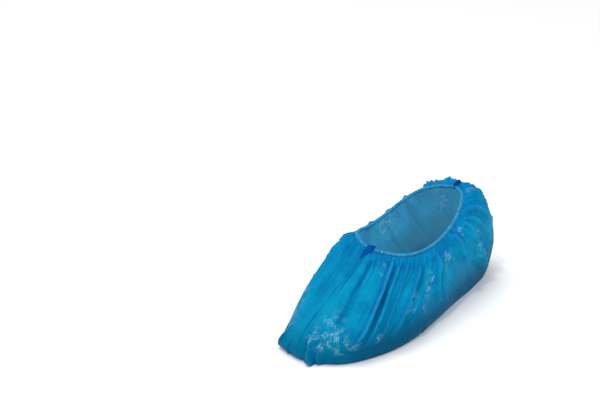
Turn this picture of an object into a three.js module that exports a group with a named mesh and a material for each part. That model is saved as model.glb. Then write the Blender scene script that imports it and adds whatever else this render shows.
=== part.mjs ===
// A disposable film shoe cover, in the form it takes over a shoe: one folded film, closed by a weld
// at the toe and a weld at the heel, with an elastic in the hem on each side of the foot opening.
// Millimetres, +Z up. The toe points to -Y and the outer side of the foot to +X.
import * as THREE from "three";

// Driving dimensions
const WALL = 1.2; // the film
const GAP = 0.3; // between pieces that touch
const HEM_RADIUS = 2.1; // outside of the rolled hem
const HEM_WALL = 0.8;
const ELASTIC_RADIUS = 1.0;
const HEM_STEPS = 48; // sections along each hem and elastic
const HEM_START = 0.009; // share of the way round from a weld to the end of a hem
const ELASTIC_START = 0.012;
const SOLE_ROUND = 5; // how far the film stands out beyond what touches the floor
const ROUND_HEIGHT = 8; // where it does
const GATHER_HEIGHT = 1.5; // of the small pleats under the hem
const GATHER_REACH = 0.24; // how far down the side they run
const WELD_WIDTH = 1.2; // the weld's edge, which stands out along the toe and the heel
const WELD_HEIGHT = 1.4;

const COLUMNS = 128; // round the foot, half of them on each side
const BAND_ROWS = [4, 7, 4, 2]; // from hem to shoulder, to flank, to the round of the sole, to the floor

// The form is set by loops round the foot, from the hem down to the floor. Each row is a station, from
// the heel weld to the toe weld. out and inn are how far the loop stands from the foot's axis on the
// outer and the inner side of the foot, and rise is how much higher the loose inner side stands.
const RIM = [
  { station: "heel weld", y: 101, out: 0, inn: 0, z: 109, rise: 0 },
  { station: "heel corner", y: 94, out: 14, inn: 14, z: 109, rise: 0 },
  { station: "heel side", y: 76, out: 27, inn: 28, z: 105, rise: 1 },
  { station: "ankle", y: 48, out: 37, inn: 36, z: 96, rise: 2 },
  { station: "waist", y: 18, out: 40, inn: 38, z: 87, rise: 4 },
  { station: "instep", y: -10, out: 36, inn: 37, z: 82, rise: 8 },
  { station: "ball", y: -34, out: 26, inn: 32, z: 84, rise: 11 },
  { station: "toe corner", y: -49, out: 11, inn: 22, z: 89, rise: 9 },
  { station: "toe weld", y: -55, out: -3, inn: 3, z: 92, rise: 0 },
];
const SHOULDER = [
  { station: "heel weld", y: 117, out: 0, inn: 0, z: 109, rise: 0 },
  { station: "heel corner", y: 109, out: 25, inn: 25, z: 107, rise: 0 },
  { station: "heel side", y: 83, out: 38, inn: 39, z: 98, rise: 1 },
  { station: "ankle", y: 48, out: 48, inn: 46, z: 85, rise: 2 },
  { station: "waist", y: 12, out: 51, inn: 48, z: 75, rise: 5 },
  { station: "instep", y: -20, out: 48, inn: 47, z: 71, rise: 11 },
  { station: "ball", y: -48, out: 38, inn: 40, z: 74, rise: 15 },
  { station: "toe corner", y: -68, out: 19, inn: 30, z: 78, rise: 8 },
  { station: "toe weld", y: -78, out: -4, inn: 4, z: 78, rise: 0 },
];
const FLANK = [
  { station: "heel weld", y: 144, out: 0, inn: 0, z: 60, rise: 0 },
  { station: "heel corner", y: 131, out: 31, inn: 31, z: 55, rise: 0 },
  { station: "heel side", y: 99, out: 43, inn: 42, z: 50, rise: 0 },
  { station: "ankle", y: 50, out: 50, inn: 45, z: 44, rise: 0 },
  { station: "waist", y: 0, out: 55, inn: 47, z: 38, rise: 1 },
  { station: "instep", y: -42, out: 57, inn: 48, z: 36, rise: 1 },
  { station: "ball", y: -84, out: 52, inn: 48, z: 34, rise: 1 },
  { station: "toe corner", y: -125, out: 33, inn: 43, z: 30, rise: 0 },
  { station: "toe weld", y: -145, out: -12, inn: 12, z: 30, rise: 0 },
];
const FLOOR = [
  { station: "heel weld", y: 137, out: 0, inn: 0 },
  { station: "heel corner", y: 126, out: 25, inn: 25 },
  { station: "heel side", y: 92, out: 35, inn: 33 },
  { station: "ankle", y: 45, out: 41, inn: 33 },
  { station: "waist", y: 0, out: 48, inn: 35 },
  { station: "instep", y: -45, out: 53, inn: 42 },
  { station: "ball", y: -88, out: 48, inn: 47 },
  { station: "toe corner", y: -133, out: 26, inn: 45 },
  { station: "toe weld", y: -151, out: -14, inn: 14 },
];

// Folds of the film, as a ridge (height above 0) or a valley along the side. Each runs from a place in
// station numbers (0 at the heel weld, 8 at the toe weld) at the depth "from" to another at the depth
// "to", where 0 is the hem, 0.25 the shoulder, 0.5 the flank and 1 the floor.
const FOLDS = [
  { side: "outer", start: 0.7, end: 0.5, from: 0.0, to: 0.32, width: 12, height: 3 },
  { side: "outer", start: 1.35, end: 1.0, from: 0.0, to: 0.36, width: 12, height: 3 },
  { side: "outer", start: 2.4, end: 1.4, from: 0.03, to: 0.5, width: 18, height: 4 },
  { side: "outer", start: 2.75, end: 1.6, from: 0.12, to: 0.62, width: 18, height: 4 },
  { side: "outer", start: 3.1, end: 1.9, from: 0.15, to: 0.72, width: 18, height: 3.5 },
  { side: "outer", start: 3.4, end: 2.8, from: 0.08, to: 0.5, width: 16, height: 3 },
  { side: "outer", start: 4.4, end: 3.5, from: 0.08, to: 0.74, width: 18, height: 3 },
  { side: "outer", start: 4.5, end: 5.5, from: 0.22, to: 0.62, width: 20, height: 3.5 },
  { side: "outer", start: 5.1, end: 5.9, from: 0.12, to: 0.6, width: 19, height: 3.5 },
  { side: "outer", start: 6.1, end: 6.45, from: 0.12, to: 0.56, width: 12, height: 2.5 },
  { side: "outer", start: 6.4, end: 6.85, from: 0.05, to: 0.62, width: 16, height: 3.5 },
  { side: "outer", start: 7.4, end: 7.4, from: 0.05, to: 0.52, width: 16, height: -3 },
  { side: "outer", start: 7.65, end: 7.55, from: 0.6, to: 1.25, width: 13, height: 5 },
  { side: "inner", start: 0.8, end: 0.6, from: 0.0, to: 0.34, width: 12, height: 3 },
  { side: "inner", start: 1.7, end: 1.2, from: 0.02, to: 0.46, width: 16, height: 3.5 },
  { side: "inner", start: 2.8, end: 1.9, from: 0.1, to: 0.66, width: 19, height: 4 },
  { side: "inner", start: 3.7, end: 3.1, from: 0.08, to: 0.6, width: 17, height: 3 },
  { side: "inner", start: 4.5, end: 4.9, from: 0.1, to: 0.6, width: 16, height: 3 },
  { side: "inner", start: 5.4, end: 5.8, from: 0.15, to: 0.62, width: 16, height: 3 },
  { side: "inner", start: 6.6, end: 6.9, from: 0.1, to: 0.56, width: 16, height: 3 },
  { side: "inner", start: 7.4, end: 7.5, from: 0.05, to: 0.5, width: 16, height: -2.5 },
  { side: "inner", start: 7.45, end: 7.2, from: 0.5, to: 1.3, width: 26, height: 4 },
];
const LAST = RIM.length - 1;

// The tabs where hem and weld meet. Each row is a level above the film: how far it runs down the weld
// and up over the opening, and how far it leans to the outer side.
const FRONT_TAB = [
  { height: 0, down: 14, over: 5, lean: 0 },
  { height: 5.5, down: 9, over: 6, lean: 0.5 },
  { height: 9.5, down: 2, over: 5, lean: 4 },
];
const HEEL_TAB = [
  { height: 0, down: 10, over: 5, lean: 0 },
  { height: 4, down: 7, over: 5, lean: 0 },
  { height: 6.5, down: 4, over: 1, lean: 1.5 },
];
const TAB_THICKNESS = 1.5;

// A closed curve round the foot through a table's stations: out along the outer side, back along the inner.
function loopOf(table, z = (row) => row.z, spread = 0) {
  const outer = table.map((row) => new THREE.Vector3(row.out, row.y, z(row)));
  const inner = table
    .slice(1, -1)
    .map((row) => new THREE.Vector3(-row.inn, row.y, z(row) + (row.rise ?? 0)));
  const points = [...outer, ...inner.reverse()];
  if (spread) {
    const middle = new THREE.Vector3(0, 0, points[0].z);
    points.forEach((p) => p.addScaledVector(p.clone().sub(middle).normalize(), spread));
  }
  return new THREE.CatmullRomCurve3(points, true, "centripetal");
}

const loops = {
  rim: loopOf(RIM),
  shoulder: loopOf(SHOULDER),
  flank: loopOf(FLANK),
  low: loopOf(FLOOR, () => ROUND_HEIGHT, SOLE_ROUND),
  floor: loopOf(FLOOR, () => 0),
};

// The film without its folds, at a share u of the way round and a share v of the way down.
function plainPoint(u, v) {
  const turn = ((u % 1) + 1) % 1;
  const points = Object.values(loops).map((loop) => loop.getPoint(turn));
  return new THREE.CatmullRomCurve3(points, false, "centripetal").getPoint(v);
}

// Directions at a point of the film: out of the surface, down the side and round the foot.
function directionsAt(u, v) {
  const round = plainPoint(u + 0.002, v).sub(plainPoint(u - 0.002, v));
  const pitch = round.length() / (0.004 * 2 * LAST); // millimetres from station to station
  const down = plainPoint(u, Math.min(v + 0.01, 1)).sub(plainPoint(u, Math.max(v - 0.01, 0)));
  const out = round.clone().cross(down);
  if (v > 0.75) out.z = 0;
  return { out: out.normalize(), down: down.normalize(), round: round.normalize(), pitch };
}

// How far the folds lift the film.
function foldHeight(u, v, pitch) {
  const station = u * 2 * LAST;
  let height = 0;
  for (const fold of FOLDS) {
    const share = (v - fold.from) / (fold.to - fold.from);
    if (share <= 0 || share >= 1) continue;
    const place = fold.start + (fold.end - fold.start) * share;
    const away = Math.abs(station - (fold.side === "outer" ? place : 2 * LAST - place));
    const across = (Math.min(away, 2 * LAST - away) * pitch) / (fold.width / 2);
    if (across >= 1) continue;
    const ends = THREE.MathUtils.smoothstep(Math.min(share, 1 - share), 0, 0.35);
    height += fold.height * ends * (0.5 + 0.5 * Math.cos(Math.PI * across));
  }
  return height;
}

function filmPoint(u, v) {
  const { out, pitch } = directionsAt(u, v);
  return plainPoint(u, v).addScaledVector(out, foldHeight(u, v, pitch));
}

// A solid from rings of points, each joined to the next, the first and the last closed by a flat fan.
function solidFromRings(rings) {
  const count = rings[0].length;
  const middleOf = (ring) => ring.reduce((sum, p) => sum.add(p), new THREE.Vector3()).divideScalar(count);
  const points = [...rings.flat(), middleOf(rings[0]), middleOf(rings.at(-1))];
  const index = [];
  for (let r = 0; r < rings.length - 1; r++) {
    for (let c = 0; c < count; c++) {
      const next = (c + 1) % count;
      const [a, b] = [r * count + c, r * count + next];
      const [d, e] = [a + count, b + count];
      index.push(a, e, b, a, d, e);
    }
  }
  const top = (rings.length - 1) * count;
  for (let c = 0; c < count; c++) {
    const next = (c + 1) % count;
    index.push(rings.length * count, c, next);
    index.push(rings.length * count + 1, top + next, top + c);
  }
  const geometry = new THREE.BufferGeometry();
  geometry.setAttribute("position", new THREE.Float32BufferAttribute(points.flatMap((p) => p.toArray()), 3));
  geometry.setIndex(index);
  return geometry;
}

const rows = [0];
BAND_ROWS.forEach((count, band) => {
  for (let r = 1; r <= count; r++) rows.push((band + r / count) / BAND_ROWS.length);
});

// The film: its outer face, with every other column lifted into a small pleat under the hem, and its
// inner face one wall behind the folds.
function filmBody() {
  const outside = [];
  const inside = [];
  for (const v of rows) {
    const outer = [];
    const inner = [];
    for (let c = 0; c < COLUMNS; c++) {
      const u = c / COLUMNS;
      const { out } = directionsAt(u, v);
      const reach = GATHER_REACH * (0.8 + 0.2 * Math.sin(c * 1.9));
      const gather = c % 2 ? 0 : GATHER_HEIGHT * Math.max(0, 1 - v / reach);
      const point = filmPoint(u, v);
      const behind = point.clone().addScaledVector(out, -WALL);
      inner.push(v === 1 ? behind.setZ(WALL) : behind);
      outer.push(point.addScaledVector(out, gather));
    }
    outside.push(outer);
    inside.push(inner);
  }
  return solidFromRings([...outside.reverse(), ...inside]);
}

// The line of a hem: the middle of the rolled edge, just above the film's edge.
function hemLine(from, to) {
  const points = [];
  for (let i = 0; i <= HEM_STEPS; i++) {
    const u = from + ((to - from) * i) / HEM_STEPS;
    const { out, down } = directionsAt(u, 0);
    points.push(plainPoint(u, 0).addScaledVector(out, -WALL / 2).addScaledVector(down, -HEM_RADIUS - 2 * GAP));
  }
  return new THREE.CatmullRomCurve3(points, false, "centripetal");
}

function tube(path, radius, bore = 0) {
  const section = new THREE.Shape().absarc(0, 0, radius, 0, 2 * Math.PI);
  if (bore) section.holes.push(new THREE.Path().absarc(0, 0, bore, 0, 2 * Math.PI, true));
  return new THREE.ExtrudeGeometry(section, { extrudePath: path, steps: HEM_STEPS, curveSegments: 4 });
}

// A weld's edge, standing on the film along one column.
function weldEdge(u, fromRow, toRow) {
  const sections = rows.slice(fromRow, toRow + 1).map((v) => {
    const { out, round } = directionsAt(u, v);
    const corner = (side, height) =>
      filmPoint(u, v).addScaledVector(round, (side * WELD_WIDTH) / 2).addScaledVector(out, height);
    return [
      corner(-1, GAP),
      corner(1, GAP),
      corner(1, GAP + WELD_HEIGHT),
      corner(-1, GAP + WELD_HEIGHT),
    ];
  });
  return solidFromRings(sections);
}

// A tab of welded layers, standing on the film at the top of a weld.
function tab(u, levels) {
  const { out, down, round } = directionsAt(u, 0.06);
  const foot = filmPoint(u, 0).addScaledVector(out, GATHER_HEIGHT + GAP);
  const toOuter = Math.sign(round.x);
  const sections = levels.map(({ height, down: along, over, lean }) => {
    const corner = (side, run) =>
      foot
        .clone()
        .addScaledVector(out, height)
        .addScaledVector(down, run)
        .addScaledVector(round, (side * TAB_THICKNESS) / 2 + toOuter * lean);
    return [corner(-1, -over), corner(-1, along), corner(1, along), corner(1, -over)];
  });
  return solidFromRings(sections);
}

const film = { color: 0x0a8fc9, roughness: 0.35, metalness: 0 };
const hem = { color: 0x1fa8dc, roughness: 0.4, metalness: 0 };
const layers = { color: 0x0552ab, roughness: 0.4, metalness: 0 };
const rubber = { color: 0xe4e0d4, roughness: 0.8, metalness: 0 };
const hemLines = {
  left: hemLine(1 - HEM_START, 0.5 + HEM_START),
  right: hemLine(HEM_START, 0.5 - HEM_START),
};
const elasticLines = {
  left: hemLine(1 - ELASTIC_START, 0.5 + ELASTIC_START),
  right: hemLine(ELASTIC_START, 0.5 - ELASTIC_START),
};
const HEM_BORE = HEM_RADIUS - HEM_WALL;

const pieces = [
  { name: "film_body", geometry: filmBody(), finish: film },
  { name: "hem_left", geometry: tube(hemLines.left, HEM_RADIUS, HEM_BORE), finish: hem },
  { name: "hem_right", geometry: tube(hemLines.right, HEM_RADIUS, HEM_BORE), finish: hem },
  { name: "elastic_left", geometry: tube(elasticLines.left, ELASTIC_RADIUS), finish: rubber },
  { name: "elastic_right", geometry: tube(elasticLines.right, ELASTIC_RADIUS), finish: rubber },
  { name: "toe_weld", geometry: weldEdge(0.5, 3, 15), finish: layers },
  { name: "heel_weld", geometry: weldEdge(0, 3, 15), finish: layers },
  { name: "front_tab", geometry: tab(0.5, FRONT_TAB), finish: layers },
  { name: "heel_tab", geometry: tab(0, HEEL_TAB), finish: layers },
];

const root = new THREE.Group();
for (const { name, geometry, finish } of pieces) {
  const mesh = new THREE.Mesh(geometry, new THREE.MeshStandardMaterial(finish));
  mesh.name = name;
  root.add(mesh);
}

// The cover stands on the floor, centred over the origin.
const box = new THREE.Box3().setFromObject(root);
const middle = box.getCenter(new THREE.Vector3());
root.children.forEach((mesh) => mesh.geometry.translate(-middle.x, -middle.y, -box.min.z));

export default root;
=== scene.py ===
import math

import bpy
import numpy as np
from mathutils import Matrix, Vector


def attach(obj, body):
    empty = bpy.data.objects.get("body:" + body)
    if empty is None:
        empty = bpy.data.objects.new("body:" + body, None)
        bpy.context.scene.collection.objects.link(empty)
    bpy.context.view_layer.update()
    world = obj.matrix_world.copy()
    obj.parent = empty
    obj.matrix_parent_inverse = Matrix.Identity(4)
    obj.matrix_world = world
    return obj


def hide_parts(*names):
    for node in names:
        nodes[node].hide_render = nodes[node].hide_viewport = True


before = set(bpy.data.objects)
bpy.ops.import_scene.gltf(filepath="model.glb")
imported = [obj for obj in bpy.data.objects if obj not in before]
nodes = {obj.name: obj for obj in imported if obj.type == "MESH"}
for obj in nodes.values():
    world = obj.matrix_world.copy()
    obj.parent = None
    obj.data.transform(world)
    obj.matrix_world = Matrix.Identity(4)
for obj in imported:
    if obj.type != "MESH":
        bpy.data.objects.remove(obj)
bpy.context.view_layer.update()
bpy.ops.object.select_all(action="DESELECT")

# ---------------------------------------------------------------------------------------------------
# Film. The real piece is one finely embossed blue polyethylene film, about 0.03 mm thick, folded
# along the sole. Much longer at its edge than the opening, it falls from the elastic in small pleats
# that run together into loose folds. It is draped here by a cloth simulation between hem and floor.
RINGS = 18  # of the CAD film's outer face, from the hem to the floor
COLUMNS = 448  # round the foot
ROWS = 84  # from the hem to the floor
HALF = COLUMNS // 2
STATIONS = 8  # from the heel weld, 0, along either side to the toe weld
LOOSENESS = 1.15  # length of the film along the foot, to the length of the form that it hangs over
HEEL_SLACK = 0.12  # more of it round the heel
OUTWARD_CAP = 0.0065  # how far the draped film may stand out from the CAD film
INWARD_CAP = 0.0035
FLOOR_GAP = 0.0003
FLAT_LENGTH = 0.41
film_random = np.random.default_rng(11)


def rings_of_film(mesh):
    """The CAD film's outer face as rings of points, hem first, each starting at the heel weld."""
    places, spot = {}, []
    for v in mesh.vertices:
        spot.append(places.setdefault(tuple(round(c * 1e6) for c in v.co), len(places)))
    points = np.array(list(places)) / 1e6
    near = [set() for _ in points]
    for face in mesh.polygons:
        corners = [spot[i] for i in face.vertices]
        for a in corners:
            near[a].update(b for b in corners if b != a)
    hubs = [i for i in range(len(points)) if len(near[i]) > 60]
    hub = min(hubs, key=lambda i: points[i][2])
    floor_ring = near[hub]
    ring = [max(floor_ring, key=lambda i: points[i][1])]
    ring.append(max(near[ring[0]] & floor_ring, key=lambda i: points[i][0]))
    while len(ring) < len(floor_ring):
        ring.append(next(i for i in near[ring[-1]] & floor_ring if i not in ring[-2:]))
    rings, used = [ring], {hub, *ring}
    while len(rings) < RINGS:
        below = rings[-1]
        up = [
            next(i for i in near[a] & near[b] if i not in used)
            for a, b in zip(below, below[1:] + below[:1])
        ]
        above = up[-1:] + up[:-1]
        rings.append(above)
        used.update(above)
    return points[np.array(rings[::-1])]


def between(points, places):
    """Points on smooth curves through rows of points."""
    last = len(points) - 1
    cell = np.minimum(places.astype(int), last - 1)
    t = (places - cell)[:, None, None]
    a, b, c, d = (points[np.clip(cell + k, 0, last)] for k in (-1, 0, 1, 2))
    return b + t / 2 * (c - a + t * (2 * a - 5 * b + 4 * c - d + t * (3 * (b - c) + d - a)))


def wander(reach, waves):
    """A smooth random line round the foot, from -reach to reach, that meets itself at the heel."""
    turn = np.arange(COLUMNS) / COLUMNS * 2 * np.pi
    line = sum(
        film_random.normal() * np.cos(k * turn + film_random.uniform(0, 2 * np.pi))
        for k in range(1, waves + 1)
    )
    return reach * line / np.abs(line).max()


def quads_round(number):
    """Faces between the rows of a grid of point numbers, whose last column meets the first."""
    following = np.roll(number, -1, 1)
    corners = [number[:-1], following[:-1], following[1:], number[1:]]
    return np.stack(corners, -1).reshape(-1, 4).tolist()


def directions(grid):
    """Out of the film, down it and round the foot, at each of its points."""
    around = np.roll(grid, -1, 1) - np.roll(grid, 1, 1)
    down = np.gradient(grid, axis=0)
    out = np.cross(around, down)
    return tuple(v / np.linalg.norm(v, axis=2, keepdims=True) for v in (out, down, around))


rings = rings_of_film(nodes["film_body"].data)
for row in range(6):  # the CAD film's regular pleats under the hem are smoothed away
    ring = rings[row]
    rings[row] = (np.roll(ring, 1, 0) + 2 * ring + np.roll(ring, -1, 0)) / 4
wide = np.concatenate([rings[:, -3:], rings, rings[:, :4]], axis=1)
wide = between(wide, np.linspace(0, RINGS - 1, ROWS + 1))
places_round = 3 + np.arange(COLUMNS) * rings.shape[1] / COLUMNS
form = between(wide.transpose(1, 0, 2), places_round).transpose(1, 0, 2)
form_out, form_down, form_around = directions(form)
depth = np.zeros(form.shape[:2])
depth[1:] = np.cumsum(np.linalg.norm(np.diff(form, axis=0), axis=2), axis=0)

# pleats: fine under the hem, every second one running on down, and slanting away from the ankle
station = np.minimum(np.arange(COLUMNS), COLUMNS - np.arange(COLUMNS)) / HALF * STATIONS
lean = np.tanh((station - 4.45) / 0.7) * np.sin(np.pi * station / STATIONS) * HALF / STATIONS
toward_toe = np.where(np.arange(COLUMNS) <= HALF, 1, -1)
column = np.arange(COLUMNS)[None, :] - toward_toe * lean * np.clip(depth / 0.06, 0, 1.4)


def pleats(number, top, foot):
    """Ridges down the film, from depth top to depth foot, uneven in pitch and height, -1 to 1."""
    uneven = wander(0.9, 40)
    tall = 0.65 + wander(0.35, 60)
    here = column % COLUMNS
    phase = number * here / COLUMNS + np.interp(here, np.arange(COLUMNS), uneven, period=COLUMNS)
    share = np.interp(here, np.arange(COLUMNS), tall, period=COLUMNS)
    fade_in = np.clip((depth - top) / 0.006, 0, 1)
    fade_out = np.clip((foot * (0.7 + 0.5 * share) - depth) / (foot * 0.4), 0, 1)
    fade = fade_in * fade_out
    return share * fade * (1 - 2 * np.abs(np.sin(np.pi * phase)) ** 0.8)


fine = pleats(76, -0.006, 0.026)
middling = pleats(38, 0.004, 0.055)
broad = pleats(19, 0.02, 0.1)
lift = 0.0013 * fine + 0.0018 * middling + 0.0013 * broad
# the pleat valleys are coloured darker: partly film lying behind film, partly painted shade
layers_and_fold_shade = np.clip(np.maximum(-2 * fine - 0.9, -1.8 * middling - 0.8), 0, 1)  # film hidden behind the pleats

# The long creases. Each starts at one station and share of the way down, nearer the hem, and ends at
# another, bowed to one side. Half widths and heights are in millimetres, and heights on the inner side
# are taken at three quarters.
OUTER, INNER = 1, -1
ANKLE = 4.4  # creases lap over towards the toe in front of this station, and towards the heel behind
CREASES = [
    # side, first station, last station, top share, foot share, bow, half width, height
    (OUTER, 7.4, 7.4, 0.1, 0.5, 0, 5.5, -2.6),
    (OUTER, 6.4, 6.9, 0.05, 0.6, -0.05, 6, 3.6),
    (OUTER, 6.3, 6.6, 0.15, 0.55, 0, 4.5, -2),
    (OUTER, 6.1, 6.6, 0.1, 0.65, 0, 4.5, 2.6),
    (OUTER, 5.7, 6.3, 0.1, 0.65, 0, 5, 3),
    (OUTER, 5.1, 5.9, 0.1, 0.6, 0, 5.5, 3),
    (OUTER, 4.9, 5.6, 0.15, 0.5, -0.1, 5, -2.2),
    (OUTER, 4.5, 5.5, 0.2, 0.6, -0.15, 5.5, 3),
    (OUTER, 4.4, 3.9, 0.05, 0.6, 0.1, 7, 2.8),
    (OUTER, 3.6, 3.8, 0.1, 0.35, 0, 4, 2.2),
    (OUTER, 3.4, 2.8, 0.05, 0.5, 0.1, 9, 3),
    (OUTER, 2.9, 2.1, 0.45, 0.65, 0, 3.5, 1.4),
    (OUTER, 2.7, 1.8, 0.1, 0.7, 0.2, 8, 3),
    (OUTER, 2.6, 1.7, 0.05, 0.5, 0.1, 8, 2.8),
    (OUTER, 2.3, 1.3, 0, 0.45, 0.1, 7, 2.4),
    (OUTER, 2.2, 1.4, 0.4, 0.6, 0, 4, 1),
    (OUTER, 1.7, 1.1, 0.05, 0.35, 0.1, 4.5, 2),
    (OUTER, 1.1, 0.7, 0.05, 0.35, 0.05, 4.5, 1.4),
    (INNER, 0.8, 0.6, 0.1, 0.35, 0, 5, 1.5),
    (INNER, 1.7, 1.1, 0.1, 0.45, 0.1, 5.5, 2),
    (INNER, 2.5, 1.9, 0.1, 0.6, 0.15, 5.5, 3.4),
    (INNER, 3.3, 2.7, 0.1, 0.65, 0.15, 5, 2.8),
    (INNER, 4.1, 3.6, 0.1, 0.7, 0.1, 5, 3),
    (INNER, 4.7, 5.3, 0.1, 0.6, 0, 5.5, 3),
    (INNER, 5.5, 6, 0.1, 0.6, 0, 5, 3),
    (INNER, 6.3, 6.8, 0.1, 0.55, 0, 5.5, 3.4),
    (INNER, 7.3, 7.5, 0.1, 0.5, 0, 5, -2.4),
    (INNER, 7.6, 7.6, 0.05, 0.6, 0, 11, -1.6),
    # puckers at the toe, where the film is drawn together under the tip
    (OUTER, 7.8, 7.6, 0.5, 1.05, -0.05, 5, 2.8),
    (OUTER, 7.5, 7.4, 0.6, 1.05, 0, 4.5, 2),
    (INNER, 7.7, 7.6, 0.55, 1.05, 0, 4.5, 2.2),
    (INNER, 7.4, 7.2, 0.5, 1.05, 0, 6, 2.4),
]
share_down = np.interp(np.linspace(0, 17, ROWS + 1), [0, 4, 11, 15, 17], [0, 0.25, 0.5, 0.75, 1])
pitch = np.linalg.norm(np.roll(form, -1, 1) - form, axis=2) * HALF / STATIONS
creased, ridge_highlights = np.zeros_like(lift), np.zeros_like(lift)
for side, first, last, top, foot, bow, half_width, height in CREASES:
    height *= 0.001 if side == OUTER else 0.00075
    along = np.clip((share_down - top) / (foot - top), 0, 1)
    middle = first + (last - first) * along + bow * np.sin(np.pi * along)
    fading = 0.07 if side == OUTER else 0.14
    ends = np.clip(np.minimum(share_down - top, foot - share_down) / fading, 0, 1)
    on_side = np.where(toward_toe == side, station, 99)
    off = (on_side[None, :] - middle[:, None]) * pitch / (half_width / 1000)
    off *= np.sign(middle[:, None] - ANKLE)
    # the lapped side of each crease is coloured darker: partly film lying over film, partly painted shade in
    # the crease valley
    lapped = np.where(off > 0, 1 - off, 1 + off / 0.2).clip(0, 1)
    layers_and_fold_shade = np.maximum(layers_and_fold_shade, 320 * abs(height) * ends[:, None] * lapped)
    # painted highlight along the crest of each crease
    crest = np.clip(1 - np.abs(off + 0.15) / 0.3, 0, 1)
    ridge_highlights = np.maximum(ridge_highlights, 300 * max(height, 0) * ends[:, None] * crest)
    off = np.where(off > 0, 2.4 * off, off)  # the film laps over, steep on one side
    creased += height * ends[:, None] * np.clip(1 - np.abs(off), 0, 1) ** 1.3

# painted highlights: patches of fine whitish glint lines, where the film catches the light
GLINT_PATCHES = [  # side, station, share of the way down, reach in stations, reach in share
    (OUTER, 7.5, 0.52, 0.42, 0.12),
    (OUTER, 7.0, 0.6, 0.35, 0.08),
    (OUTER, 6.2, 0.58, 0.1, 0.05),
    (OUTER, 6.75, 0.18, 0.14, 0.1),
    (OUTER, 5.3, 0.42, 0.16, 0.08),
    (OUTER, 4.75, 0.42, 0.22, 0.16),
    (OUTER, 3.9, 0.26, 0.13, 0.14),
    (OUTER, 3.0, 0.16, 0.16, 0.08),
    (OUTER, 2.4, 0.4, 0.14, 0.1),
    (OUTER, 0.9, 0.1, 0.2, 0.1),
    (INNER, 6.9, 0.5, 0.5, 0.1),
    (INNER, 5.0, 0.4, 0.3, 0.12),
    (INNER, 3.2, 0.3, 0.3, 0.14),
    (INNER, 1.2, 0.35, 0.3, 0.14),
]
painted_glints = np.zeros_like(lift)
for side, at, share, reach, down_reach in GLINT_PATCHES:
    on_side = np.where(toward_toe == side, station, 99)
    patch = ((on_side[None, :] - at) / reach) ** 2 + ((share_down[:, None] - share) / down_reach) ** 2
    painted_glints = np.maximum(painted_glints, np.clip(1.3 - patch, 0, 1))
# painted shade: the film is coloured darker towards the sole, standing in for the lower film in shade and
# for a dark shoe behind it, which is not built
sole_shade = np.interp(share_down, [0.44, 0.66], [0, 1])[:, None] * np.interp(station, [6.2, 7.6], [1, 0.6])
near_floor = np.clip((depth.max(0) - depth) / 0.004 + 0.5, 0, 1)
start = form + form_out * ((lift + creased) * near_floor)[:, :, None]


def drape(start):
    """Lets the film find its folds: held at hem and floor, and longer than the form along the foot."""
    big = 10  # the simulation is steadier on a larger copy
    along = np.linalg.norm(np.diff(form[30], axis=0), axis=1)
    along = (along[:HALF] + np.append(along[HALF:], along[0])[::-1]) / 2
    loose = np.interp(station[:HALF], [3, 5], [LOOSENESS + HEEL_SLACK, LOOSENESS])
    along = np.concatenate([[0], np.cumsum(along * loose)])
    flat = np.zeros_like(start)
    lap = np.minimum(np.arange(COLUMNS), COLUMNS - np.arange(COLUMNS))
    flat[:, :, 1] = -along[lap]
    flat[:, :, 2] = -depth
    apart = np.where(np.arange(COLUMNS) < HALF, 0.0005, -0.0005)
    flat[:, :, 0] = np.where((lap == 0) | (lap == HALF), 0, apart)
    mesh = bpy.data.meshes.new("drape")
    number = np.arange(start[..., 0].size).reshape(start.shape[:2])
    mesh.from_pydata((start.reshape(-1, 3) * big).tolist(), [], quads_round(number))
    cloth_piece = bpy.data.objects.new("drape", mesh)
    bpy.context.scene.collection.objects.link(cloth_piece)
    cloth_piece.shape_key_add(name="Basis")
    key = cloth_piece.shape_key_add(name="flat")
    key.data.foreach_set("co", (flat.reshape(-1) * big).tolist())
    key.value = 0
    held = cloth_piece.vertex_groups.new(name="held")
    held.add(number[[0, -1]].reshape(-1).tolist(), 1.0, "REPLACE")
    held.add(number[1:-1, [0, HALF]].reshape(-1).tolist(), 0.9, "REPLACE")
    cloth = cloth_piece.modifiers.new("cloth", "CLOTH")
    s = cloth.settings
    s.vertex_group_mass = "held"
    s.rest_shape_key = key
    s.quality = 5
    s.mass = 0.2
    s.air_damping = 3
    s.bending_model = "ANGULAR"
    s.tension_stiffness = 15
    s.compression_stiffness = 10
    s.shear_stiffness = 4
    s.bending_stiffness = 0.1
    s.tension_damping = 8
    s.compression_damping = 8
    s.bending_damping = 0.6
    s.effector_weights.gravity = 0
    cloth.collision_settings.use_collision = False
    cloth.point_cache.frame_end = 30
    for frame_number in range(1, 23):
        bpy.context.scene.frame_set(frame_number)
    settled = cloth_piece.evaluated_get(bpy.context.evaluated_depsgraph_get()).to_mesh()
    flat_list = np.empty(start.size)
    settled.vertices.foreach_get("co", flat_list)
    bpy.context.scene.frame_set(1)
    bpy.data.objects.remove(cloth_piece)
    bpy.data.meshes.remove(mesh)
    return flat_list.reshape(start.shape) / big


draped = drape(start)
moved = draped - form
away = np.sum(moved * form_out, axis=2)
sideways = moved - away[:, :, None] * form_out
slip = np.linalg.norm(sideways, axis=2, keepdims=True)
sideways *= 0.004 * np.tanh(slip / 0.004) / np.maximum(slip, 1e-9)
inner_side = np.interp(depth, [0, 0.03], [0.45, 0.6])  # the film hangs closer on the inner side and heel
top_cap = OUTWARD_CAP * np.where(toward_toe == INNER, inner_side, np.interp(station, [1, 2.4], [0.5, 1]))
away = np.where(away > 0, top_cap * np.tanh(away / top_cap), INWARD_CAP * np.tanh(away / INWARD_CAP))
# the creases, which the cloth lets go, are added again
pressed = np.interp(station, [3.8, 4.8], [1.0, 0.6])
away += pressed * creased * near_floor
skin = form + away[:, :, None] * form_out + sideways
skin[:, :, 2] = np.maximum(skin[:, :, 2], FLOOR_GAP)
skin_out, _, skin_around = directions(skin)

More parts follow.
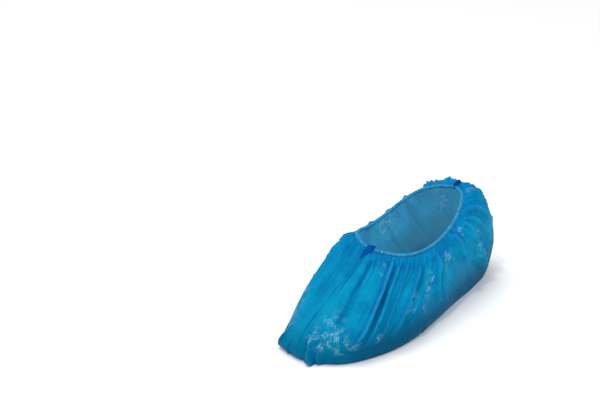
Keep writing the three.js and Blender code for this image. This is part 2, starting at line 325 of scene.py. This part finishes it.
# the sole: the same film, straight across from side to side, with shallow wrinkles that lift off the floor
ACROSS = 20
sole = []
for k in range(1, ACROSS):
    share = k / ACROSS
    line = skin[-1, 1:HALF] * (1 - share) + skin[-1, :HALF:-1] * share
    wrinkle = np.abs(np.sin(line[:, 1] * 90 + 4 * share))
    line[:, 2] = FLOOR_GAP + 0.0006 * wrinkle * (1 - abs(2 * share - 1))
    sole.append(line)
sole = np.array(sole)
walls = (ROWS + 1) * COLUMNS
number = np.arange(walls).reshape(ROWS + 1, COLUMNS)
faces = quads_round(number)
sole_number = walls + np.arange(sole[..., 0].size).reshape(sole.shape[:2])
lines = np.concatenate([number[-1:, 1:HALF], sole_number, number[-1:, :HALF:-1]])
corners = [lines[:-1, :-1], lines[:-1, 1:], lines[1:, 1:], lines[1:, :-1]]
faces += np.stack(corners, -1).reshape(-1, 4).tolist()
for k in range(ACROSS):
    faces.append([int(number[-1, 0]), int(lines[k, 0]), int(lines[k + 1, 0])])
    faces.append([int(lines[k, -1]), int(number[-1, HALF]), int(lines[k + 1, -1])])
film_mesh = bpy.data.meshes.new("film")
film_mesh.from_pydata(np.concatenate([skin.reshape(-1, 3), sole.reshape(-1, 3)]).tolist(), [], faces)
film_mesh.validate()
film_mesh.shade_smooth()
film = bpy.data.objects.new("film", film_mesh)
bpy.context.scene.collection.objects.link(film)
flat_place = film_mesh.uv_layers.new(name="flat")  # along the foot, and down from the hem, in metres
lap = np.minimum(np.arange(COLUMNS), COLUMNS - np.arange(COLUMNS)) / HALF * FLAT_LENGTH
across_place = 0.15 + 0.07 * np.arange(1, ACROSS) / ACROSS
down_place = np.concatenate([depth.reshape(-1), np.repeat(across_place, HALF - 1)])
along_sole = np.tile(np.linspace(0, FLAT_LENGTH, HALF - 1), ACROSS - 1)
along_place = np.concatenate([np.tile(lap, ROWS + 1), along_sole])
corner = np.empty(len(film_mesh.loops), dtype=int)
film_mesh.loops.foreach_get("vertex_index", corner)
flat_place.data.foreach_set("uv", np.stack([along_place[corner], down_place[corner]], -1).reshape(-1))


def new_material(name):
    material = bpy.data.materials.new(name)
    material.use_nodes = True
    tree = material.node_tree
    tree.nodes.clear()
    return material, tree


def node(tree, kind, **settings):
    """A shader node, with its inputs and properties set by name."""
    made = tree.nodes.new(kind)
    for key, value in settings.items():
        if key in made.bl_rna.properties:
            setattr(made, key, value)
        else:
            made.inputs[key.replace("_", " ")].default_value = value
    return made


def film_surface(tree, colour, normal, rough, see_through):
    """Thin film: part of the light glances off, part spreads through to the other side."""
    link = tree.links.new
    gloss = node(tree, "ShaderNodeBsdfPrincipled", IOR=1.2, Specular_IOR_Level=0.13)
    glow = node(tree, "ShaderNodeBsdfTranslucent")
    clear = node(tree, "ShaderNodeBsdfTransparent", Color=(0.25, 0.72, 0.95, 1))
    both = node(tree, "ShaderNodeMixShader", Fac=0.3)
    all_three = node(tree, "ShaderNodeMixShader", Fac=see_through)
    output = node(tree, "ShaderNodeOutputMaterial")
    link(colour, gloss.inputs["Base Color"])
    link(colour, glow.inputs["Color"])
    link(rough, gloss.inputs["Roughness"])
    link(normal, gloss.inputs["Normal"])
    link(normal, glow.inputs["Normal"])
    link(gloss.outputs[0], both.inputs[1])
    link(glow.outputs[0], both.inputs[2])
    link(both.outputs[0], all_three.inputs[1])
    link(clear.outputs[0], all_three.inputs[2])
    link(all_three.outputs[0], output.inputs["Surface"])


def film_material():
    material, tree = new_material("blue_film")
    link = tree.links.new
    place = node(tree, "ShaderNodeTexCoord")
    flat = node(tree, "ShaderNodeUVMap", uv_map="flat")
    parts = node(tree, "ShaderNodeSeparateXYZ")
    link(flat.outputs[0], parts.inputs[0])
    # the band under the hem where the film is double, with an uneven lower edge
    edge = node(tree, "ShaderNodeTexNoise", Scale=220.0, Detail=2.0)
    stretch = node(tree, "ShaderNodeMapping")
    stretch.inputs["Scale"].default_value = (1.6, 0.25, 1)
    link(flat.outputs[0], stretch.inputs["Vector"])
    link(stretch.outputs[0], edge.inputs["Vector"])
    reach = node(tree, "ShaderNodeMath", operation="MULTIPLY_ADD")
    link(edge.outputs["Fac"], reach.inputs[0])
    reach.inputs[1].default_value = 0.012
    link(parts.outputs["Y"], reach.inputs[2])
    band = node(tree, "ShaderNodeMapRange", interpolation_type="SMOOTHSTEP")
    link(reach.outputs[0], band.inputs["Value"])
    band.inputs["From Min"].default_value = 0.016
    band.inputs["From Max"].default_value = 0.026
    band.inputs["To Min"].default_value = 1
    band.inputs["To Max"].default_value = 0
    cloud = node(tree, "ShaderNodeTexNoise", Scale=38.0, Detail=4.0, Roughness=0.6)
    link(place.outputs["Object"], cloud.inputs["Vector"])
    shade = node(tree, "ShaderNodeValToRGB")
    shade.color_ramp.elements[0].position = 0.3
    shade.color_ramp.elements[0].color = (0.0, 0.26, 0.50, 1)
    shade.color_ramp.elements[1].position = 0.72
    shade.color_ramp.elements[1].color = (0.0, 0.40, 0.66, 1)
    link(cloud.outputs["Fac"], shade.inputs["Fac"])
    # painted shade, darker towards the sole
    under = node(tree, "ShaderNodeAttribute", attribute_name="low_shade")
    dim = node(tree, "ShaderNodeMath", operation="MULTIPLY")
    link(under.outputs["Fac"], dim.inputs[0])
    dim.inputs[1].default_value = 0.82
    shaded_low = node(tree, "ShaderNodeMix", data_type="RGBA")
    link(dim.outputs[0], shaded_low.inputs["Factor"])
    link(shade.outputs["Color"], shaded_low.inputs[6])
    shaded_low.inputs[7].default_value = (0.0, 0.076, 0.175, 1)
    # darker and bluer where film lies behind film, and painted shade in the fold valleys: behind the folds,
    # and in streaks under the hem
    behind_and_fold_shade = node(tree, "ShaderNodeAttribute", attribute_name="layers_and_fold_shade")
    streak = node(tree, "ShaderNodeMapRange")
    link(edge.outputs["Fac"], streak.inputs["Value"])
    streak.inputs["From Min"].default_value = 0.44
    streak.inputs["From Max"].default_value = 0.58
    streak.inputs["To Min"].default_value = 0.15
    streak.inputs["To Max"].default_value = 0.65
    streaks = node(tree, "ShaderNodeMath", operation="MULTIPLY")
    link(band.outputs[0], streaks.inputs[0])
    link(streak.outputs[0], streaks.inputs[1])
    thick_and_fold_shade = node(tree, "ShaderNodeMath", operation="MULTIPLY_ADD", use_clamp=True)
    link(behind_and_fold_shade.outputs["Fac"], thick_and_fold_shade.inputs[0])
    thick_and_fold_shade.inputs[1].default_value = 0.68
    link(streaks.outputs[0], thick_and_fold_shade.inputs[2])
    double_and_fold_shade = node(tree, "ShaderNodeMix", data_type="RGBA", blend_type="MULTIPLY")
    link(thick_and_fold_shade.outputs[0], double_and_fold_shade.inputs["Factor"])
    link(shaded_low.outputs[2], double_and_fold_shade.inputs[6])
    double_and_fold_shade.inputs[7].default_value = (1.0, 0.5, 0.9, 1)
    # painted highlight: paler along the crests of the creases, as where they catch the light
    top = node(tree, "ShaderNodeAttribute", attribute_name="ridge_highlights")
    half_way = node(tree, "ShaderNodeMath", operation="MULTIPLY", use_clamp=True)
    link(top.outputs["Fac"], half_way.inputs[0])
    half_way.inputs[1].default_value = 0.4
    pale = node(tree, "ShaderNodeMix", data_type="RGBA")
    link(half_way.outputs[0], pale.inputs["Factor"])
    link(double_and_fold_shade.outputs[2], pale.inputs[6])
    pale.inputs[7].default_value = (0.04, 0.52, 0.78, 1)
    # painted glints: thin broken whitish lines, in the glint patches
    glint_streaks = node(tree, "ShaderNodeTexNoise", Scale=520.0, Detail=1.5, Distortion=1.2)
    slanted = node(tree, "ShaderNodeMapping")
    slanted.inputs["Rotation"].default_value = (0, 0, 0.35)
    slanted.inputs["Scale"].default_value = (1.2, 0.5, 1)
    link(flat.outputs[0], slanted.inputs["Vector"])
    link(slanted.outputs[0], glint_streaks.inputs["Vector"])
    thin = node(tree, "ShaderNodeValToRGB")
    for place_on, value in ((0.45, 0), (0.485, 1), (0.515, 1), (0.55, 0)):
        stop = thin.color_ramp.elements.new(place_on)
        stop.color = (value, value, value, 1)
    thin.color_ramp.elements[0].color = thin.color_ramp.elements[-1].color = (0, 0, 0, 1)
    link(glint_streaks.outputs["Fac"], thin.inputs["Fac"])
    broken = node(tree, "ShaderNodeTexNoise", Scale=160.0, Detail=2.0)
    link(place.outputs["Object"], broken.inputs["Vector"])
    breaks = node(tree, "ShaderNodeMapRange")
    link(broken.outputs["Fac"], breaks.inputs["Value"])
    breaks.inputs["From Min"].default_value = 0.46
    breaks.inputs["From Max"].default_value = 0.58
    patches = node(tree, "ShaderNodeAttribute", attribute_name="painted_glints")
    faint = node(tree, "ShaderNodeMath", operation="MULTIPLY")
    link(thin.outputs["Color"], faint.inputs[0])
    link(breaks.outputs[0], faint.inputs[1])
    white = node(tree, "ShaderNodeMath", operation="MULTIPLY")
    link(faint.outputs[0], white.inputs[0])
    link(patches.outputs["Fac"], white.inputs[1])
    glinted = node(tree, "ShaderNodeMix", data_type="RGBA")
    link(white.outputs[0], glinted.inputs["Factor"])
    link(pale.outputs[2], glinted.inputs[6])
    glinted.inputs[7].default_value = (0.33, 0.66, 0.8, 1)
    # embossing: small round pits pressed into the film all over
    pits = node(tree, "ShaderNodeTexVoronoi", Scale=1150.0, feature="SMOOTH_F1")
    link(place.outputs["Object"], pits.inputs["Vector"])
    crease = node(tree, "ShaderNodeTexNoise", Scale=330.0, Detail=2.5, Roughness=0.5, Distortion=1.4)
    drawn = node(tree, "ShaderNodeMapping")
    drawn.inputs["Scale"].default_value = (1.3, 0.5, 1)
    link(flat.outputs[0], drawn.inputs["Vector"])
    link(drawn.outputs[0], crease.inputs["Vector"])
    creases = node(tree, "ShaderNodeBump", Strength=0.65, Distance=0.0013)
    link(crease.outputs["Fac"], creases.inputs["Height"])
    emboss = node(tree, "ShaderNodeBump", Strength=0.5, Distance=0.00016)
    link(pits.outputs["Distance"], emboss.inputs["Height"])
    link(creases.outputs[0], emboss.inputs["Normal"])
    worn = node(tree, "ShaderNodeMapRange")
    link(cloud.outputs["Fac"], worn.inputs["Value"])
    worn.inputs["From Min"].default_value = 0.4
    worn.inputs["From Max"].default_value = 0.6
    worn.inputs["To Min"].default_value = 0.2
    worn.inputs["To Max"].default_value = 0.34
    # smoother, so glossier, in the patches of painted glints
    polish = node(tree, "ShaderNodeMath", operation="MULTIPLY_ADD")
    link(patches.outputs["Fac"], polish.inputs[0])
    polish.inputs[1].default_value = -0.08
    link(worn.outputs[0], polish.inputs[2])
    film_surface(tree, glinted.outputs[2], emboss.outputs[0], polish.outputs[0], 0.1)
    return material


for name, values, on_sole in (
    ("layers_and_fold_shade", layers_and_fold_shade, 0),
    ("ridge_highlights", ridge_highlights, 0),
    ("painted_glints", painted_glints, 0),
    ("low_shade", sole_shade, 1),
):
    painted = film_mesh.attributes.new(name, "FLOAT", "POINT")
    sole_values = np.full(sole[..., 0].size, on_sole)
    painted.data.foreach_set("value", np.concatenate([values.reshape(-1), sole_values]))
film_mesh.materials.append(film_material())
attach(film, "root")
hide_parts("film_body")

# ---------------------------------------------------------------------------------------------------
# Hems. The edge of the film is turned over a thin elastic and welded, one on each side of the opening.
# The elastic draws it up, so the rolled edge is wrinkled crosswise all along.
HEM_RADIUS = 0.0020
HEM_RISE = 0.0027  # from the film's edge to the middle of the roll
HEM_SECTIONS = 760
HEM_SIDES = 14
hem_random = np.random.default_rng(5)


def hem_mesh(name, columns):
    middle = form[0] - 0.0006 * form_out[0] - HEM_RISE * form_down[0]
    track = np.stack([middle, form_out[0], form_down[0]], 1)[columns]
    track = between(track, np.linspace(0, len(columns) - 1, HEM_SECTIONS))
    middle, out, down = track[:, 0], track[:, 1], track[:, 2]
    run = np.concatenate([[0], np.cumsum(np.linalg.norm(np.diff(middle, axis=0), axis=1))])
    jitter = np.interp(run, np.linspace(0, run[-1], 60), hem_random.uniform(-0.5, 0.5, 60))
    tall = np.interp(run, np.linspace(0, run[-1], 90), hem_random.uniform(0.4, 1.0, 90))
    rings, grooves = [], []
    for side in range(HEM_SIDES):
        angle = 2 * np.pi * side / HEM_SIDES
        twist = 0.5 * math.sin(angle) + 0.4 * math.cos(2 * angle)
        crimp = np.abs(np.sin(np.pi * (run / 0.0026 + jitter + 0.35 * twist)))
        fine = np.abs(np.sin(np.pi * (run / 0.0013 + 1.7 * jitter - 0.5 * twist)))
        radius = HEM_RADIUS - 0.0005 * tall * (1 - crimp) ** 1.5 - 0.0001 * (1 - fine)
        # the depth of each crosswise groove, for the painted shade in the grooves
        grooves.append(np.clip(tall * (1 - crimp) ** 1.5 + 0.4 * (1 - fine), 0, 1))
        up = -math.sin(angle) * (1.12 if math.sin(angle) < 0 else 1.0)
        rings.append(middle + (radius * math.cos(angle))[:, None] * out + (radius * up)[:, None] * -down)
    grid = np.array(rings).transpose(1, 0, 2)
    number = np.arange(grid[..., 0].size).reshape(grid.shape[:2])
    mesh = bpy.data.meshes.new(name)
    mesh.from_pydata(grid.reshape(-1, 3).tolist(), [], quads_round(number))
    mesh.shade_smooth()
    painted = mesh.attributes.new("groove_shade", "FLOAT", "POINT")
    painted.data.foreach_set("value", np.array(grooves).T.reshape(-1))
    piece = bpy.data.objects.new(name, mesh)
    bpy.context.scene.collection.objects.link(piece)
    bpy.context.view_layer.objects.active = piece
    bpy.ops.object.select_all(action="DESELECT")
    piece.select_set(True)
    bpy.ops.object.mode_set(mode="EDIT")
    bpy.ops.mesh.select_all(action="SELECT")
    bpy.ops.mesh.normals_make_consistent(inside=False)
    bpy.ops.object.mode_set(mode="OBJECT")
    wall = piece.modifiers.new("wall", "SOLIDIFY")
    wall.thickness = 0.0004
    wall.offset = -1
    bpy.ops.object.modifier_apply(modifier="wall")
    return piece


def hem_material():
    material, tree = new_material("rolled_film")
    link = tree.links.new
    place = node(tree, "ShaderNodeTexCoord")
    cloud = node(tree, "ShaderNodeTexNoise", Scale=420.0, Detail=3.0)
    link(place.outputs["Object"], cloud.inputs["Vector"])
    shade = node(tree, "ShaderNodeValToRGB")
    shade.color_ramp.elements[0].position = 0.32
    shade.color_ramp.elements[0].color = (0.02, 0.3, 0.58, 1)
    shade.color_ramp.elements[1].position = 0.68
    shade.color_ramp.elements[1].color = (0.07, 0.5, 0.76, 1)
    link(cloud.outputs["Fac"], shade.inputs["Fac"])
    # painted shade: darker in the grooves between the crosswise wrinkles
    groove_shade = node(tree, "ShaderNodeAttribute", attribute_name="groove_shade")
    dark = node(tree, "ShaderNodeMix", data_type="RGBA", blend_type="MULTIPLY")
    link(groove_shade.outputs["Fac"], dark.inputs["Factor"])
    link(shade.outputs["Color"], dark.inputs[6])
    dark.inputs[7].default_value = (0.3, 0.4, 0.62, 1)
    wrinkle = node(tree, "ShaderNodeBump", Strength=0.5, Distance=0.0004)
    link(cloud.outputs["Fac"], wrinkle.inputs["Height"])
    worn = node(tree, "ShaderNodeMapRange")
    link(cloud.outputs["Fac"], worn.inputs["Value"])
    worn.inputs["To Min"].default_value = 0.25
    worn.inputs["To Max"].default_value = 0.45
    film_surface(tree, dark.outputs[2], wrinkle.outputs[0], worn.outputs[0], 0.03)
    return material


rolled = hem_material()
for name, cad_node, columns in (
    ("hem_outer", "hem_right", np.arange(1, HALF)),
    ("hem_inner", "hem_left", np.arange(COLUMNS - 1, HALF, -1)),
):
    hem = hem_mesh(name, columns)
    hem.data.materials.append(rolled)
    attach(hem, "root")
    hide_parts(cad_node)

# ---------------------------------------------------------------------------------------------------
# Elastics. A thin round rubber elastic lies loose inside each hem, stretched while the hem is welded
# over it and held at its ends in the welds, so that it gathers the film when it is let go.
material, tree = new_material("elastic_rubber")
link = tree.links.new
place = node(tree, "ShaderNodeTexCoord")
grain = node(tree, "ShaderNodeTexNoise", Scale=900.0, Detail=3.0)
link(place.outputs["Object"], grain.inputs["Vector"])
tone = node(tree, "ShaderNodeValToRGB")
tone.color_ramp.elements[0].color = (0.62, 0.58, 0.5, 1)
tone.color_ramp.elements[1].color = (0.82, 0.8, 0.72, 1)
link(grain.outputs["Fac"], tone.inputs["Fac"])
ribs = node(tree, "ShaderNodeBump", Strength=0.4, Distance=0.0002)
link(grain.outputs["Fac"], ribs.inputs["Height"])
rubber = node(tree, "ShaderNodeBsdfPrincipled", Roughness=0.75)
output = node(tree, "ShaderNodeOutputMaterial")
link(tone.outputs["Color"], rubber.inputs["Base Color"])
link(ribs.outputs[0], rubber.inputs["Normal"])
link(rubber.outputs[0], output.inputs["Surface"])
for name in ("elastic_left", "elastic_right"):
    nodes[name].data.materials.clear()
    nodes[name].data.materials.append(material)

# ---------------------------------------------------------------------------------------------------
# Welds. The two sides of the film are joined by a narrow heat weld down the toe and down the heel,
# pressed with a row of small crimps, with the trimmed edge standing out a little.
WELD_STEPS = 420


def weld_mesh(name, column, top, foot):
    line = np.stack([skin[:, column], skin_out[:, column], skin_around[:, column]], 1)
    track = between(line, np.linspace(top, foot, WELD_STEPS))
    middle, out, around = track[:, 0], track[:, 1], track[:, 2]
    run = np.concatenate([[0], np.cumsum(np.linalg.norm(np.diff(middle, axis=0), axis=1))])
    crimp = 0.5 + 0.5 * np.cos(2 * np.pi * run / 0.0016)
    ends = np.clip(np.minimum(run, run[-1] - run) / 0.006, 0.15, 1)
    height = (0.0005 + 0.0003 * np.sin(run * 310) * np.sin(run * 127 + 1)) * ends
    wave = 0.00045 * np.sin(run * 520) * np.sin(run * 90 + 2)
    section = [(-1, 0.0), (-0.55, 0.5), (-0.4, 1.0), (0.4, 1.0), (0.55, 0.5), (1, 0.0)]
    rings = []
    for side, share in section:
        half = (0.0003 + 0.0003 * (1 - share)) * (1 - 0.35 * crimp * share)
        rings.append(
            middle
            + (side * half + wave * share)[:, None] * around
            + (0.0001 + height * share)[:, None] * out
        )
    grid = np.array(rings).transpose(1, 0, 2)
    number = np.arange(grid[..., 0].size).reshape(grid.shape[:2])
    quads = quads_round(number)
    quads += [number[0][::-1].tolist(), number[-1].tolist()]
    mesh = bpy.data.meshes.new(name)
    mesh.from_pydata(grid.reshape(-1, 3).tolist(), [], quads)
    mesh.shade_smooth()
    piece = bpy.data.objects.new(name, mesh)
    bpy.context.scene.collection.objects.link(piece)
    return piece


def layers_material():
    material, tree = new_material("welded_film")
    link = tree.links.new
    place = node(tree, "ShaderNodeTexCoord")
    cloud = node(tree, "ShaderNodeTexNoise", Scale=300.0, Detail=4.0)
    link(place.outputs["Object"], cloud.inputs["Vector"])
    shade = node(tree, "ShaderNodeValToRGB")
    shade.color_ramp.elements[0].position = 0.35
    shade.color_ramp.elements[0].color = (0.0, 0.06, 0.34, 1)
    shade.color_ramp.elements[1].position = 0.7
    shade.color_ramp.elements[1].color = (0.0, 0.13, 0.5, 1)
    link(cloud.outputs["Fac"], shade.inputs["Fac"])
    wrinkle = node(tree, "ShaderNodeBump", Strength=0.6, Distance=0.0005)
    link(cloud.outputs["Fac"], wrinkle.inputs["Height"])
    worn = node(tree, "ShaderNodeMapRange")
    link(cloud.outputs["Fac"], worn.inputs["Value"])
    worn.inputs["To Min"].default_value = 0.25
    worn.inputs["To Max"].default_value = 0.5
    film_surface(tree, shade.outputs["Color"], wrinkle.outputs[0], worn.outputs[0], 0.0)
    return material


layered = layers_material()
for name, cad_node, column in (("weld_toe", "toe_weld", HALF), ("weld_heel", "heel_weld", 0)):
    weld = weld_mesh(name, column, 12, ROWS - 10)
    weld.data.materials.append(film_mesh.materials[0])
    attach(weld, "root")
    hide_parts(cad_node)

# ---------------------------------------------------------------------------------------------------
# Tabs. At each end of the opening the hems and the weld come together, and their layers are trimmed
# off in a small stiff corner that stands up, darker than the rest because it is so many films thick.
LEAF_ROWS = 14
LEAF_STEPS = 24
FRONT_LEVELS = [  # height, run down the weld, run over the opening, lean, all in millimetres
    (0, 12, 3, 0),
    (3, 8, 3, 0.3),
    (5.5, 5, 1, 1),
    (8, 1.5, -0.5, 2),
]
HEEL_LEVELS = [
    (0, 10, 5, 0),
    (4, 7, 5, 0),
    (6.4, 4, 1, 1.5),
]


def tab_mesh(name, column, levels, sweep, climb):
    """Three leaves on one root, from levels of (height, run down the weld, run over the opening, lean).

    The end over the opening is swept round to the outer side, over the hem, and the tip climbs upwards.
    """
    foot = form[0, column] + 0.0003 * form_out[0, column]
    out, down, around = form_out[2, column], form_down[2, column], form_around[2, column]
    heights, downs, overs, leans = (np.array(v) / 1000 for v in zip(*levels))
    outer = 1 if around[0] > 0 else -1
    points, faces = [], []
    for leaf, (shift, size) in enumerate(((-1, 0.9), (0, 1.0), (1, 0.94))):
        first = len(points)
        for j in range(LEAF_ROWS + 1):
            b = j / LEAF_ROWS * size
            level = b * heights[-1]
            run_down, run_over, lean = (np.interp(level, heights, v) for v in (downs, overs, leans))
            for i in range(LEAF_STEPS + 1):
                a = i / LEAF_STEPS
                run = -run_over + (run_down + run_over) * (a if leaf != 2 else 0.03 + 0.95 * a)
                ripple = 0.0006 * b * math.sin(9 * a + 2.3 * leaf + 3 * b) + 0.0003 * math.sin(23 * a + leaf)
                turned = sweep * (1 - a) ** 1.3
                spread = shift * (0.00018 + 0.00045 * b) * (1 - 0.6 * climb)
                side = outer * (lean + turned) + spread + ripple * b
                rise = level * (1 - 0.35 * climb) + 0.24 * turned + shift * 0.0004 * b * climb
                points.append(foot + rise * out + (run - climb * level) * down + side * around)
        for j in range(LEAF_ROWS):
            for i in range(LEAF_STEPS):
                k = first + j * (LEAF_STEPS + 1) + i
                above = k + LEAF_STEPS + 1
                faces.append((k, k + 1, above + 1, above))
    mesh = bpy.data.meshes.new(name)
    mesh.from_pydata([tuple(p) for p in points], [], faces)
    mesh.shade_smooth()
    piece = bpy.data.objects.new(name, mesh)
    bpy.context.scene.collection.objects.link(piece)
    bpy.ops.object.select_all(action="DESELECT")
    bpy.context.view_layer.objects.active = piece
    piece.select_set(True)
    wall = piece.modifiers.new("wall", "SOLIDIFY")
    wall.thickness = 0.0003
    wall.offset = 0
    bpy.ops.object.modifier_apply(modifier="wall")
    return piece


for name, cad_node, column, levels, sweep, climb in (
    ("tab_front", "front_tab", HALF, FRONT_LEVELS, 0.009, 0.8),
    ("tab_heel", "heel_tab", 0, HEEL_LEVELS, 0, 0),
):
    tab = tab_mesh(name, column, levels, sweep, climb)
    tab.data.materials.append(layered)
    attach(tab, "root")
    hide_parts(cad_node)

# ---------------------------------------------------------------------------------------------------
# Studio. A white floor under one broad soft light, with three small ones for the glints on the film,
# as for a product on a white ground.
bpy.ops.object.select_all(action="DESELECT")
bpy.ops.mesh.primitive_plane_add(size=12, location=(0, 0, 0))
floor = bpy.context.object
floor.name = "studio_floor"
material, tree = new_material("white_floor")
paper = node(tree, "ShaderNodeBsdfPrincipled", Base_Color=(0.9, 0.9, 0.9, 1), Roughness=0.7)
output = node(tree, "ShaderNodeOutputMaterial")
tree.links.new(paper.outputs[0], output.inputs["Surface"])
floor.data.materials.append(material)

world = bpy.context.scene.world or bpy.data.worlds.new("studio")
bpy.context.scene.world = world
world.use_nodes = True
world.node_tree.nodes["Background"].inputs[0].default_value = (1, 1, 1, 1)
world.node_tree.nodes["Background"].inputs[1].default_value = 0.74


def soft_light(name, place, aim, size, power):
    light = bpy.data.lights.new(name, "AREA")
    light.shape = "DISK"
    light.size = size
    light.energy = power
    holder = bpy.data.objects.new(name, light)
    holder.location = place
    holder.rotation_euler = (Vector(aim) - Vector(place)).to_track_quat("-Z", "Y").to_euler()
    bpy.context.scene.collection.objects.link(holder)


soft_light("overhead", (-0.2, -0.4, 2.2), (0, 0, 0.04), 1.2, 20)
soft_light("front", (0.3, -1.0, 1.6), (0, 0, 0.04), 0.12, 7)
soft_light("side", (1.6, 0.3, 1.2), (0, 0, 0.05), 0.12, 6)
soft_light("left", (-1.4, -0.8, 1.3), (0, 0, 0.05), 0.3, 2.5)

# ---------------------------------------------------------------------------------------------------
# Camera. A long lens, two metres away, looking down at the cover from the front and the outer side,
# with the cover to the right of the middle.
azimuth, elevation, distance = math.radians(40), math.radians(26), 2.0
back = Vector(
    (
        math.sin(azimuth) * math.cos(elevation),
        -math.cos(azimuth) * math.cos(elevation),
        math.sin(elevation),
    )
)
right = Vector((math.cos(azimuth), math.sin(azimuth), 0))
up = back.cross(right)
aim = Vector((0, 0, 0.05)) - 0.1058 * right + 0.0748 * up
camera = bpy.data.objects.new("camera", bpy.data.cameras.new("camera"))
camera.data.lens = 112.3
camera.location = aim + distance * back
camera.rotation_euler = (-back).to_track_quat("-Z", "Y").to_euler()
bpy.context.scene.collection.objects.link(camera)
bpy.context.scene.camera = camera
bpy.context.scene.view_settings.view_transform = "Standard"
